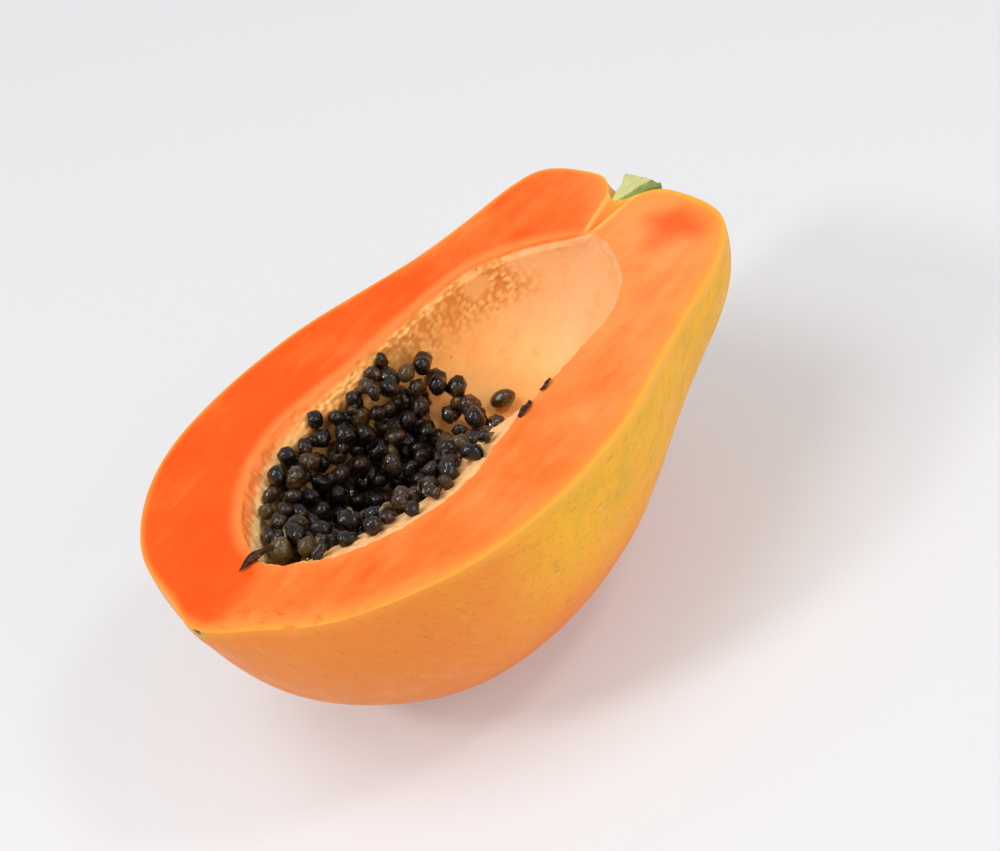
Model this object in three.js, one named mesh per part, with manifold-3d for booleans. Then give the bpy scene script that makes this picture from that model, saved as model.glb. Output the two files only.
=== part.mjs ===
// Half a ripe papaya, cut lengthwise through its stem. Millimetres, +Z up.
// The cut face is level and looks up, the stem points along +X, and the skin rests on a small flat spot at z = 0.

import * as THREE from 'three';
import { mergeGeometries, mergeVertices } from 'three/addons/utils/BufferGeometryUtils.js';
import Module from 'manifold-3d';

const wasm = await Module();
wasm.setup();

// ---- Driving dimensions -------------------------------------------------------------------------------------
// Until the last step z = 0 is the cut face, x = 0 is mid-length and y = 0 is the line from stem to blossom end.

const GAP = 0.35; // clear space between pieces that touch

// The outside. Half breadths are read from the blossom end to the stem end, before the ends close in.
const HALF_LENGTH = 90;
const END_BLUNTNESS = 1.88; // 1 closes the ends as an oval, more closes them blunter
const HALF_BREADTHS = [48, 51.5, 58, 65, 62, 52, 56.5, 68.5, 75.5];
const BEND = { middle: -2.8, towardStem: -6 }; // how far the centre line leaves y = 0
const DEPTH_SHARE = { middle: 1.12, slope: -0.14, ends: -0.22 }; // depth over half breadth
const LOBES = { count: 5, share: 0.01 }; // shallow lengthwise lobes of the skin
const BLOSSOM_TIP = { height: 7.4, radius: 14.3 };
const STEM_NOTCH = { depth: 8.8, radius: 6.8 };
const REST_DEPTH = 71; // from the cut face down to the flat spot

// The seed cavity, a spindle with its lip in the cut face.
const CAVITY = { start: -71.6, end: 67, middle: -2.5, drift: -1.4, bow: 1.7, depthShare: 1.15 };
const CAVITY_HALF_BREADTHS = [10, 31, 37.2, 37.6, 31.5, 32.5, 37, 32, 19.5];

// The placenta leaves a soft band below the lip. It is broad round the seeds and narrow toward the stem.
const BAND_NARROW = { breadth: 2, drop: 3 };
const BAND_FAR = { breadth: 5, drop: 4.5 };
const BAND_NEAR = { breadth: 10, drop: 2.8 };
const BAND_CHANGE = { from: -18, to: 14 }; // the stretch along the fruit where it narrows
const BAND_SHARE = 0.2; // share of the wall, lip to floor, that the band takes

// Stumps of the seed stalks, in a strip of knobs under the far lip, and the groove from cavity to stem.
const KNOBS = { height: 1.5, middle: 12, reach: 38, fromLip: 0.36, spread: 0.22 };
const GROOVE = { depth: 1.6, halfBreadth: 2.2 };

// The seeds line the blossom half of the cavity. Insets are measured in from the wall.
const SEED = { halfLength: 3.5, halfBreadth: 2.9, spacing: 5.3, draws: 5000, draw: 20 };
const SEED_BED = { under: 1.6, top: 4.4, first: 5, second: 9.4, secondShare: 0.35, drop: 5, edge: 3 };
const SEED_PATCH = { from: -67, to: 7.5, slant: 0.5, farTurn: 0.2, nearTurn: 2.95 };
const SEED_CORNER = { turn: 0.3, from: -10, to: 18 }; // toward the stem the far edge of the patch sinks by this

const STEM = { length: 11, lean: -2.2, ribs: 5, ribShare: 0.06, sideGap: 0.45 };
const STEM_PROFILE = [[0, 0], [2.4, 1.2], [4, 3.2], [5, 5.4], [5.6, 7.6], [6.2, 10.2], [5.6, 11], [0, 10.8]];

// Loose bits: middle, then length, breadth and thickness, then heading in degrees.
const LOOSE = {
  stray_seed_1: { at: [26, 8.6], size: [7.2, 5.6, 5.2], heading: 20, onWall: true },
  stray_seed_2: { at: [18.6, 5], size: [7, 5.8, 5.4], heading: 60, onWall: true },
  lip_shred_1: { at: [1.2, -33], size: [8, 2.4, 1], heading: 8 },
  lip_shred_2: { at: [11, -32.4], size: [6, 1.5, 0.8], heading: 4 },
};
const SEED_TAIL = { length: 11, breadth: 2.6, thickness: 1.6, at: [-71, 1.8], heading: -17, curl: 0.8 };

// How finely the bent halves are divided: from end to end, and round the outside and the inside.
const FRUIT_GRID = { rows: 48, outside: 28, inside: 24, rings: 3 };
const BED_GRID = { rows: 18, outside: 8, inside: 8, rings: 1 };

// ---- Joining and cutting ------------------------------------------------------------------------------------

function toSolid(geometry) {
  const bare = geometry.clone();
  bare.deleteAttribute('normal');
  bare.deleteAttribute('uv');
  const merged = mergeVertices(bare);
  return new wasm.Manifold(new wasm.Mesh({
    numProp: 3,
    vertProperties: new Float32Array(merged.attributes.position.array),
    triVerts: new Uint32Array(merged.index.array),
  }));
}

function toGeometry(solid) {
  const mesh = solid.getMesh();
  const geometry = new THREE.BufferGeometry();
  geometry.setAttribute('position', new THREE.BufferAttribute(mesh.vertProperties, 3));
  geometry.setIndex(new THREE.BufferAttribute(mesh.triVerts, 1));
  geometry.computeVertexNormals();
  return geometry;
}

function block(lowest, highest) {
  const size = new THREE.Vector3().subVectors(highest, lowest);
  const middle = new THREE.Vector3().addVectors(lowest, highest).multiplyScalar(0.5);
  return toSolid(new THREE.BoxGeometry(size.x, size.y, size.z).translate(middle.x, middle.y, middle.z));
}

// Fusing can leave scraps and sealed hollows. Both are bodies of their own, so the largest one is kept.
function largestBody(solid) {
  return solid.decompose().reduce((best, body) => (body.volume() > best.volume() ? body : best));
}

// ---- Shapes by formula --------------------------------------------------------------------------------------

// A smooth curve through evenly spaced values, read at a share of its length.
function curveThrough(values, share) {
  return new THREE.SplineCurve(values.map((value, i) => new THREE.Vector2(i, value))).getPoint(share).y;
}

// A cross-section of the fruit. tau runs from 0 at the blossom end to pi at the stem end.
function fruitSection(tau) {
  const closing = Math.sin(tau) ** END_BLUNTNESS;
  const share = -Math.sign(Math.cos(tau)) * Math.sqrt(1 - closing * closing);
  const halfBreadth = Math.sin(tau) * curveThrough(HALF_BREADTHS, tau / Math.PI);
  const tip = BLOSSOM_TIP.height * Math.exp(-((halfBreadth / BLOSSOM_TIP.radius) ** 2));
  const notch = STEM_NOTCH.depth * Math.exp(-((halfBreadth / STEM_NOTCH.radius) ** 2));
  return {
    x: HALF_LENGTH * share - (share < 0 ? tip : notch),
    y: (BEND.middle + BEND.towardStem * share) * (1 - share ** 4),
    halfBreadth,
    depth: halfBreadth * DEPTH_SHARE.middle * (1 + DEPTH_SHARE.slope * share + DEPTH_SHARE.ends * share * share),
  };
}

// A point of the skin. turn runs from 0 at the far edge of the cut face, under the fruit, to pi at the near edge.
function skinPoint(tau, turn) {
  const section = fruitSection(tau);
  const down = Math.sin(turn);
  const lobe = 1 + LOBES.share * down * Math.cos(LOBES.count * (turn - Math.PI / 2));
  return new THREE.Vector3(
    section.x,
    section.y + section.halfBreadth * Math.cos(turn) * lobe,
    -section.depth * down * lobe,
  );
}

function cavitySection(tau) {
  const share = -Math.cos(tau);
  return {
    x: THREE.MathUtils.lerp(CAVITY.start, CAVITY.end, (share + 1) / 2),
    y: CAVITY.middle + CAVITY.drift * share + CAVITY.bow * (1 - share * share),
    halfBreadth: Math.sin(tau) * curveThrough(CAVITY_HALF_BREADTHS, tau / Math.PI),
  };
}

// A point of the smooth cavity wall. From the lip it crosses the placenta band, then rounds down to the floor.
function cavityPoint(tau, turn) {
  const section = cavitySection(tau);
  const side = Math.cos(turn) < 0 ? -1 : 1;
  const fromLip = 1 - Math.abs(1 - turn / (Math.PI / 2));
  const toStem = THREE.MathUtils.smoothstep(section.x, BAND_CHANGE.from, BAND_CHANGE.to);
  const broad = side > 0 ? BAND_FAR : BAND_NEAR;
  const room = section.halfBreadth * 0.45;
  const band = Math.min(THREE.MathUtils.lerp(broad.breadth, BAND_NARROW.breadth, toStem), room);
  const drop = Math.min(THREE.MathUtils.lerp(broad.drop, BAND_NARROW.drop, toStem), room);
  const onBand = Math.min(fromLip / BAND_SHARE, 1);
  const onWall = Math.max((fromLip - BAND_SHARE) / (1 - BAND_SHARE), 0) * Math.PI / 2;
  const depth = section.halfBreadth * CAVITY.depthShare;
  return new THREE.Vector3(
    section.x,
    section.y + side * (section.halfBreadth - band * onBand - (section.halfBreadth - band) * (1 - Math.cos(onWall))),
    -drop * onBand - (depth - drop) * Math.sin(onWall),
  );
}

// The same wall moved in toward the middle of the cavity by an inset.
function insetCavityPoint(tau, turn, inset) {
  const section = cavitySection(tau);
  const point = cavityPoint(tau, turn);
  const share = 1 - Math.min(inset / Math.max(section.halfBreadth, 0.01), 0.95);
  const endShare = 1 - inset / ((CAVITY.end - CAVITY.start) / 2);
  const middle = (CAVITY.end + CAVITY.start) / 2;
  return new THREE.Vector3(
    middle + (point.x - middle) * endShare,
    section.y + (point.y - section.y) * share,
    point.z * share,
  );
}

// Every second crossing of rows and columns in the strip is raised into a knob.
function knobbedCavityPoint(tau, turn) {
  const row = Math.round(tau / Math.PI * FRUIT_GRID.rows);
  const column = Math.round(turn / Math.PI * FRUIT_GRID.inside);
  const point = cavityPoint(tau, turn);
  const along = Math.exp(-(((point.x - KNOBS.middle) / KNOBS.reach) ** 4));
  const down = Math.exp(-(((turn / (Math.PI / 2) - KNOBS.fromLip) / KNOBS.spread) ** 4));
  const raised = (row + column) % 2 === 0 ? KNOBS.height * Math.sin(tau) : 0;
  return insetCavityPoint(tau, turn, raised * along * down);
}

// Half a sphere, bent so that each row is a cross-section and each column runs from end to end.
function bentHalf(rows, columns, shape) {
  const geometry = new THREE.SphereGeometry(1, columns, rows, 0, Math.PI);
  const { position, uv } = geometry.attributes;
  for (let i = 0; i < position.count; i += 1) {
    const tau = Math.round((1 - uv.getY(i)) * rows) / rows * Math.PI;
    const turn = Math.round(uv.getX(i) * columns) / columns * Math.PI;
    const point = shape(tau, turn);
    position.setXYZ(i, point.x, point.y, point.z);
  }
  return geometry;
}

// A flat ring, bent to join the edges of an outer and an inner half. The groove crosses it at the stem end.
function bentRim(outer, inner, { rows, rings }, height, groove) {
  const geometry = new THREE.RingGeometry(1, 2, rows * 2, rings);
  const { position } = geometry.attributes;
  for (let i = 0; i < position.count; i += 1) {
    const angle = Math.atan2(position.getY(i), position.getX(i));
    const tau = (rows - Math.round(Math.abs(angle) / Math.PI * rows)) / rows * Math.PI;
    const turn = angle < 0 ? Math.PI : 0;
    const share = Math.round((Math.hypot(position.getX(i), position.getY(i)) - 1) * rings) / rings;
    const point = new THREE.Vector3().lerpVectors(inner(tau, turn), outer(tau, turn), share);
    const seam = CAVITY.middle * (1 - share) / 2;
    const inGroove = point.x > CAVITY.end ? Math.exp(-(((point.y - seam) / GROOVE.halfBreadth) ** 2)) : 0;
    const edge = share === 0 || share === 1 ? 0 : 1;
    position.setXYZ(i, point.x, point.y, height - edge * groove * inGroove);
  }
  return geometry;
}

// A closed bowl between two bent halves that share their rows, with a level rim.
function bowl(outer, inner, grid, { height = 0, groove = 0 } = {}) {
  const atHeight = (shape) => (tau, turn) => shape(tau, turn).add(new THREE.Vector3(0, 0, height));
  const outside = bentHalf(grid.rows, grid.outside, atHeight(outer));
  const inside = bentHalf(grid.rows, grid.inside, atHeight(inner));
  const turned = inside.index.array;
  for (let i = 0; i < turned.length; i += 3) {
    [turned[i], turned[i + 1]] = [turned[i + 1], turned[i]];
  }
  return toSolid(mergeGeometries([outside, inside, bentRim(outer, inner, grid, height, groove)]));
}

// ---- Pieces -------------------------------------------------------------------------------------------------

function papayaHalf() {
  const table = block(new THREE.Vector3(-200, -200, -200), new THREE.Vector3(200, 200, -REST_DEPTH));
  return bowl(skinPoint, knobbedCavityPoint, FRUIT_GRID, { groove: GROOVE.depth }).subtract(table);
}

// The fruit with a tighter cavity and a higher rim, which keeps what lies in it clear of the wall.
function clearance() {
  const wall = (tau, turn) => insetCavityPoint(tau, turn, KNOBS.height + GAP);
  return bowl(skinPoint, wall, FRUIT_GRID, { height: GAP });
}

function seededRandom(start) {
  let state = start;
  return () => {
    state = (state * 1664525 + 1013904223) % 4294967296;
    return state / 4294967296;
  };
}

function ellipsoid(halfSizes, turnedBy, at, detail) {
  const geometry = new THREE.IcosahedronGeometry(1, detail);
  geometry.scale(...halfSizes);
  geometry.applyMatrix4(new THREE.Matrix4().makeRotationFromEuler(turnedBy));
  return toSolid(geometry.translate(...at));
}

// Seeds stand on a thin bed that lines the cavity, spaced by the draw, some of them in a second layer.
function seedBunch() {
  const random = seededRandom(SEED.draw);
  const centres = [];
  const bodies = [];
  for (let i = 0; i < SEED.draws; i += 1) {
    const tau = Math.acos(1 - 2 * random());
    const turn = THREE.MathUtils.lerp(SEED_PATCH.farTurn, SEED_PATCH.nearTurn, random());
    const inset = random() < SEED_BED.secondShare ? SEED_BED.second : SEED_BED.first;
    const facing = new THREE.Euler(random() * Math.PI, random() * Math.PI, random() * Math.PI);
    const size = 0.92 + 0.16 * random();
    const centre = insetCavityPoint(tau, turn, inset);
    const sunk = SEED_CORNER.turn * THREE.MathUtils.smoothstep(centre.x, SEED_CORNER.from, SEED_CORNER.to);
    const beforeEdge = centre.x < SEED_PATCH.to + SEED_PATCH.slant * centre.y;
    const inPatch = centre.x > SEED_PATCH.from && beforeEdge && turn > SEED_PATCH.farTurn + sunk;
    if (inPatch && centres.every((other) => other.distanceTo(centre) > SEED.spacing)) {
      const halfSizes = [SEED.halfLength * size, SEED.halfBreadth * size, SEED.halfBreadth * size];
      centres.push(centre);
      bodies.push(ellipsoid(halfSizes, facing, centre.toArray(), 0));
    }
  }
  const bed = bowl(
    (tau, turn) => insetCavityPoint(tau, turn, SEED_BED.under),
    (tau, turn) => insetCavityPoint(tau, turn, SEED_BED.top),
    BED_GRID,
  );
  const corner = new THREE.Vector3(SEED_PATCH.to - SEED_BED.edge, 100, -SEED_BED.drop);
  const slant = THREE.MathUtils.radToDeg(Math.atan(SEED_PATCH.slant));
  const patch = block(new THREE.Vector3(-100, -100, -100), corner).rotate([0, 0, -slant]);
  const bunch = bodies.reduce((joined, body) => joined.add(body), bed.intersect(patch));
  return largestBody(bunch.subtract(clearance()));
}

// The halved stub: a ribbed cone about +X that leans to one side, level with the cut face and seated in the notch.
function stem() {
  const profile = STEM_PROFILE.map(([radius, along]) => new THREE.Vector2(radius, along));
  const geometry = new THREE.LatheGeometry(profile, 20, Math.PI / 20);
  const { position } = geometry.attributes;
  const start = fruitSection(Math.PI).x;
  for (let i = 0; i < position.count; i += 1) {
    const along = position.getY(i);
    const angle = Math.atan2(position.getZ(i), position.getX(i));
    const rib = 1 + STEM.ribShare * Math.cos(STEM.ribs * angle) * along / STEM.length;
    const across = STEM.lean * along / STEM.length - position.getX(i) * rib;
    position.setXYZ(i, start + along, across, position.getZ(i) * rib);
  }
  const aboveCut = block(new THREE.Vector3(0, -50, 0), new THREE.Vector3(200, 50, 50));
  const seat = clearance();
  const moves = [[STEM.sideGap, 0, 0], [0, STEM.sideGap, 0], [0, -STEM.sideGap, 0]];
  return moves.reduce((rest, move) => rest.subtract(seat.translate(move)), toSolid(geometry).subtract(aboveCut));
}

// A loose seed is let down onto the wall below it, and a shred lies on the cut face.
function looseBit({ at, size, heading, onWall }, fruit) {
  const halfSizes = size.map((side) => side / 2);
  const turnedBy = new THREE.Euler(0, 0, THREE.MathUtils.degToRad(heading));
  const bit = ellipsoid(halfSizes, turnedBy, [at[0], at[1], 0], 1);
  if (!onWall) {
    return bit.translate([0, 0, halfSizes[2] + GAP]);
  }
  const carrier = fruit.translate([0, 0, GAP]);
  let height = -CAVITY.depthShare * Math.max(...CAVITY_HALF_BREADTHS);
  while (bit.translate([0, 0, height]).intersect(carrier).volume() > 0) {
    height += 0.1;
  }
  return bit.translate([0, 0, height]);
}

// The shred of dried pulp that trails from the seeds over the tail of the cavity.
function seedTail() {
  const { length, breadth, thickness, at, heading, curl } = SEED_TAIL;
  const geometry = new THREE.CapsuleGeometry(0.5, length, 3, 8, 8);
  const { position } = geometry.attributes;
  const half = length / 2 + 0.5;
  for (let i = 0; i < position.count; i += 1) {
    const along = position.getY(i);
    const taper = 1 - 0.55 * (1 - along / half) / 2;
    const bow = curl * Math.cos(along / half * Math.PI / 2);
    position.setXYZ(i, along, bow - position.getX(i) * breadth * taper, position.getZ(i) * thickness * taper);
  }
  geometry.rotateZ(THREE.MathUtils.degToRad(heading));
  return toSolid(geometry.translate(at[0], at[1], thickness / 2 + GAP));
}

// ---- The part -----------------------------------------------------------------------------------------------

const COLOURS = {
  flesh: { color: 0xff7a2e, roughness: 0.45, metalness: 0 },
  stalk: { color: 0xb4c26e, roughness: 0.7, metalness: 0 },
  seed: { color: 0x1c1512, roughness: 0.3, metalness: 0 },
};

function piece(name, solid, colour) {
  const mesh = new THREE.Mesh(toGeometry(solid), new THREE.MeshStandardMaterial(colour));
  mesh.name = name;
  return mesh;
}

const papaya = new THREE.Group();
const fruit = papayaHalf();
papaya.add(piece('papaya_half', fruit, COLOURS.flesh));
papaya.add(piece('stem', stem(), COLOURS.stalk));
papaya.add(piece('seeds', seedBunch(), COLOURS.seed));
papaya.add(piece('seed_tail', seedTail(), COLOURS.seed));
for (const [name, bit] of Object.entries(LOOSE)) {
  papaya.add(piece(name, looseBit(bit, fruit), COLOURS.seed));
}

// The origin is the middle of the whole part's box, on the surface that it rests on.
const box = new THREE.Box3().setFromObject(papaya);
const centre = box.getCenter(new THREE.Vector3());
papaya.position.set(-centre.x, -centre.y, REST_DEPTH);

export default papaya;
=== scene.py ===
"""Half a ripe papaya, dressed for its portrait: flesh, skin, seeds, stem and the light that it lies in."""
import math

import bmesh
import bpy
import numpy as np
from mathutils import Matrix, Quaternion, Vector, noise


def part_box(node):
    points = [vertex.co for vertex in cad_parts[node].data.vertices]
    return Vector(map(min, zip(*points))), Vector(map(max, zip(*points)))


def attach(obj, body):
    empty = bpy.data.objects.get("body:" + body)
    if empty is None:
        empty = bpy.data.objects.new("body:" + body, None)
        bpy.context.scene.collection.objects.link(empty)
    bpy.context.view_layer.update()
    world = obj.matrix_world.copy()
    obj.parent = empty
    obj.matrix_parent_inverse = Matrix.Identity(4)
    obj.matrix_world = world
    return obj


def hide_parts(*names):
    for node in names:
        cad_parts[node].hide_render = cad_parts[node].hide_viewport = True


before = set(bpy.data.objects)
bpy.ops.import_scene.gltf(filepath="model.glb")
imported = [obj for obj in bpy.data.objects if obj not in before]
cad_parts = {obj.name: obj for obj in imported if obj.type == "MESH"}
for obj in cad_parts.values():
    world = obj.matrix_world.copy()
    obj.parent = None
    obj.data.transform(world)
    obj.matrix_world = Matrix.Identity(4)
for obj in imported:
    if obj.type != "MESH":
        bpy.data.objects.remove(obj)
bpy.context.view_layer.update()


# ---- The papaya half -------------------------------------------------------
# One grown piece: a thin waxy skin, soft orange flesh and the seed cavity that runs down its middle.
# A knife went through it lengthwise, so a level cut face joins the skin to the wall of the cavity.
# Lengths are in millimetres from the middle of the cut face, with +X toward the stem and +Z up.

CUT_FACE_IN_PART = np.array([2.6, 1.5144, 71.0])

HALF_LENGTH = 90
END_BLUNTNESS = 1.88
HALF_BREADTHS = [48, 51.5, 58, 65, 62, 52, 56.5, 68.5, 75.5]
BEND_MIDDLE, BEND_TOWARD_STEM = -2.8, -6
DEPTH_SHARE, DEPTH_SLOPE, DEPTH_ENDS = 1.12, -0.14, -0.22
LOBES, LOBE_SHARE = 5, 0.01
BLOSSOM_TIP_HEIGHT, BLOSSOM_TIP_RADIUS = 7.4, 14.3
STEM_NOTCH_DEPTH, STEM_NOTCH_RADIUS = 8.8, 6.8
REST_DEPTH = 71

CAVITY_START, CAVITY_END = -71.6, 67
CAVITY_MIDDLE, CAVITY_DRIFT, CAVITY_BOW = -2.5, -1.4, 1.7
CAVITY_DEPTH_SHARE = 1.15
CAVITY_HALF_BREADTHS = [10, 31, 37.2, 37.6, 31.5, 32.5, 37, 32, 19.5]
BAND_SHARE = 0.2
BAND_NARROW = (2, 3)
BAND_FAR = (5, 4.5)
BAND_NEAR = (10, 2.8)
BAND_CHANGE = (-18, 14)

PAPAYA_ROWS = 320
SKIN_COLUMNS, WALL_COLUMNS, RIM_RINGS = 70, 150, 26

PULP_REACH, PULP_REACH_NEAR, PULP_RAGGED, PULP_ENDS = 9, 3, 2.5, (6, 24)
STRIP_LIP_SIDE, STRIP_DEEP_SIDE = (0.6, 2.4), (11, 19)
STRIP_STARTS, STRIP_ENDS = (-34, -16), (50, 60)
KNOB_SIZE, FIBRE_SIZE = (1.9, 1.4, 1.4), (0.9, 2.6, 2.6)
NOTCH_LINES_START, NOTCH_LINES_LEAN = 68, 0.06
TIP_SEAM_STARTS, TIP_SEAM_ENDS, TIP_SEAM_BREADTH = (-96, -90), (-77, -72), 0.6
KNIFE_MARK_SIZE = (60, 1.6, 9)
LIP_WOBBLE, LIP_WOBBLE_REACH = 0.7, 2.5


def curve_through(values, share):
    """A smooth curve through evenly spaced values, read at a share of its length."""
    knots = np.asarray(values, float)
    last = len(knots) - 1
    at = np.clip(share, 0, 1) * last
    i = np.minimum(at.astype(int), last - 1)
    t = at - i
    before, start, end, after = (knots[np.clip(i + step, 0, last)] for step in (-1, 0, 1, 2))
    leaving, arriving = (end - before) / 2, (after - start) / 2
    return ((2 * start - 2 * end + leaving + arriving) * t ** 3
            + (3 * end - 3 * start - 2 * leaving - arriving) * t ** 2 + leaving * t + start)


def smooth(value, low, high):
    """0 below low, 1 above high and an easy slope between."""
    t = np.clip((value - low) / (high - low), 0, 1)
    return t * t * (3 - 2 * t)


def skin_point(tau, turn):
    """tau runs from the blossom end to the stem, turn from the far edge under the fruit to the near edge."""
    closing = np.clip(np.sin(tau), 0, 1) ** END_BLUNTNESS
    share = -np.sign(np.cos(tau)) * np.sqrt(1 - closing * closing)
    breadth = np.sin(tau) * curve_through(HALF_BREADTHS, tau / math.pi)
    tip = BLOSSOM_TIP_HEIGHT * np.exp(-(breadth / BLOSSOM_TIP_RADIUS) ** 2)
    notch = STEM_NOTCH_DEPTH * np.exp(-(breadth / STEM_NOTCH_RADIUS) ** 2)
    x = HALF_LENGTH * share - np.where(share < 0, tip, notch)
    middle = (BEND_MIDDLE + BEND_TOWARD_STEM * share) * (1 - share ** 4)
    depth = breadth * DEPTH_SHARE * (1 + DEPTH_SLOPE * share + DEPTH_ENDS * share * share)
    lobe = 1 + LOBE_SHARE * np.sin(turn) * np.cos(LOBES * (turn - math.pi / 2))
    y = middle + breadth * np.cos(turn) * lobe
    z = -depth * np.sin(turn) * lobe
    return np.stack([np.broadcast_to(x, y.shape), y, z], axis=-1)


def cavity_section(tau):
    share = -np.cos(tau)
    x = CAVITY_START + (CAVITY_END - CAVITY_START) * (share + 1) / 2
    breadth = np.sin(tau) * curve_through(CAVITY_HALF_BREADTHS, tau / math.pi)
    return x, CAVITY_MIDDLE + CAVITY_DRIFT * share + CAVITY_BOW * (1 - share * share), breadth


def cavity_point(tau, turn):
    """The cavity wall: from the lip over the soft band that held the seeds, then round to the floor."""
    x, middle, breadth = cavity_section(tau)
    side = np.where(np.cos(turn) < 0, -1, 1)
    from_lip = 1 - np.abs(1 - turn / (math.pi / 2))
    to_stem = smooth(x, *BAND_CHANGE)
    broad = [np.where(side > 0, far, near) for far, near in zip(BAND_FAR, BAND_NEAR)]
    band, drop = (np.minimum(wide + (narrow - wide) * to_stem, breadth * 0.45)
                  for wide, narrow in zip(broad, BAND_NARROW))
    on_band = np.minimum(from_lip / BAND_SHARE, 1)
    on_wall = np.maximum((from_lip - BAND_SHARE) / (1 - BAND_SHARE), 0) * math.pi / 2
    y = middle + side * (breadth - band * on_band - (breadth - band) * (1 - np.cos(on_wall)))
    z = -drop * on_band - (breadth * CAVITY_DEPTH_SHARE - drop) * np.sin(on_wall)
    return np.stack([np.broadcast_to(x, y.shape), y, z], axis=-1)


def inset_cavity_point(tau, turn, inset):
    """The same wall, moved in toward the middle of the cavity."""
    x, middle, breadth = cavity_section(tau)
    point = cavity_point(tau, turn)
    share = 1 - np.minimum(inset / np.maximum(breadth, 0.01), 0.95)
    end_share = 1 - inset / ((CAVITY_END - CAVITY_START) / 2)
    mid_length = (CAVITY_END + CAVITY_START) / 2
    return np.stack([mid_length + (point[..., 0] - mid_length) * end_share,
                     middle + (point[..., 1] - middle) * share,
                     point[..., 2] * share], axis=-1)


def crowded(count, pull):
    """Shares from 0 to 1, closer together toward both ends."""
    share = np.linspace(0, 1, count + 1)
    return share - pull * np.sin(2 * math.pi * share) / (2 * math.pi)


def gaps_to(points, line):
    """How far each point lies from the nearest point of a line, in millimetres."""
    gaps = [np.sqrt(((chunk[:, None] - line) ** 2).sum(-1)).min(1) for chunk in np.array_split(points, 200)]
    return np.concatenate(gaps)


def grain(points, size):
    """Soft bumps from -1 to 1 at each point, about as far apart as size."""
    return np.array([noise.noise(Vector(p)) for p in points / np.asarray(size, float)])


def knobs(points, size):
    """Round bumps from 0 to 1 packed edge to edge, about as far apart as size."""
    gaps = np.array([noise.voronoi(Vector(p))[0][0] for p in points / np.asarray(size, float)])
    return np.clip(1 - (gaps / 0.62) ** 2, 0, 1)


def make_mesh(name, points, faces):
    """A mesh in metres in the part's frame, from points in millimetres round the cut face."""
    mesh = bpy.data.meshes.new(name)
    mesh.from_pydata(((points + CUT_FACE_IN_PART) / 1000).tolist(), [], faces)
    mesh.polygons.foreach_set("use_smooth", [True] * len(mesh.polygons))
    mesh.update()
    if sum(face.center.dot(face.normal) * face.area for face in mesh.polygons) < 0:
        mesh.flip_normals()
    return mesh


def show(name, data):
    made = bpy.data.objects.new(name, data)
    bpy.context.scene.collection.objects.link(made)
    return made


def make_piece(name, mesh, finishes, slot, *nodes):
    """Shows a mesh in its finishes on the part's one body, in place of the named solids."""
    for finish in finishes:
        mesh.materials.append(finish.material)
    piece = show(name, mesh)
    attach(piece, "root")
    if nodes:
        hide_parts(*nodes)
    return piece


def note(mesh, name, values):
    """Keeps one number for each point, for the material to read."""
    mesh.attributes.new(name, "FLOAT", "POINT").data.foreach_set("value", np.asarray(values, np.float32))


tau = np.linspace(0, math.pi, PAPAYA_ROWS + 1)[:, None]
skin_turn = math.pi * crowded(SKIN_COLUMNS, 0.85)[None, :]
wall_turn = math.pi * crowded(WALL_COLUMNS, 0.5)[None, :]
skin = skin_point(tau, skin_turn)
wall = cavity_point(tau, wall_turn)
across = crowded(RIM_RINGS, 0.8)[None, 1:-1, None]
near_rim = skin[:, -1:] + (wall[:, -1:] - skin[:, -1:]) * across
far_rim = wall[:, :1] + (skin[:, :1] - wall[:, :1]) * across
grid = np.concatenate([skin, near_rim, wall[:, ::-1], far_rim], axis=1)

loop = grid.shape[1]
near_edge = SKIN_COLUMNS
near_lip = near_edge + RIM_RINGS
far_lip = near_lip + WALL_COLUMNS
column = np.arange(loop)
in_skin = column <= near_edge
in_wall = (column >= near_lip) & (column <= far_lip)

# The knife leaves the skin's edge almost sharp. The soft lip of the cavity is rounder.
for corner, reach, times in ((0, 1, 1), (near_edge, 1, 1), (near_lip, 2, 3), (far_lip, 2, 2)):
    for _ in range(times):
        for j in range(corner - reach, corner + reach + 1):
            before, after = grid[:, (j - 1) % loop], grid[:, (j + 1) % loop]
            grid[:, j % loop] = (before + 2 * grid[:, j % loop] + after) / 4

outline = np.concatenate([skin[:, 0], skin[:, -1]])
lip = np.concatenate([wall[:, 0], wall[:, -1]])
points = grid.reshape(-1, 3)
on_skin = np.tile(in_skin, PAPAYA_ROWS + 1)
on_wall = np.tile(in_wall, PAPAYA_ROWS + 1)
from_skin = np.where(on_skin, 0, gaps_to(points, outline))
from_lip = gaps_to(points, lip) * np.where(on_wall, 1, -1)
around = np.zeros(grid.shape[:2])
across_skin = np.abs(skin[:, :, 1].max(1) - skin[:, :, 1].min(1))[:, None]
around[:, in_skin] = across_skin / 2 * (skin_turn - math.pi / 2)

_, first, same = np.unique(np.round(points, 4), axis=0, return_index=True, return_inverse=True)
same = same.reshape(-1)
i, j = np.meshgrid(np.arange(PAPAYA_ROWS), column, indexing="ij")
here, there = i * loop, (i + 1) * loop
beside = (j + 1) % loop
corners = np.stack([here + j, here + beside, there + beside, there + j], -1)
corners = same[corners.reshape(-1, 4)]
skin_face = (j < near_edge).reshape(-1)
faces, face_is_skin = [], []
for quad, is_skin in zip(corners.tolist(), skin_face.tolist()):
    ring = [v for k, v in enumerate(quad) if v != quad[k - 1]]
    if len(ring) > 2:
        faces.append(ring)
        face_is_skin.append(is_skin)
points, on_skin, on_wall = points[first], on_skin[first], on_wall[first]
from_skin, from_lip, around = from_skin[first], from_lip[first], around.reshape(-1)[first]

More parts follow.
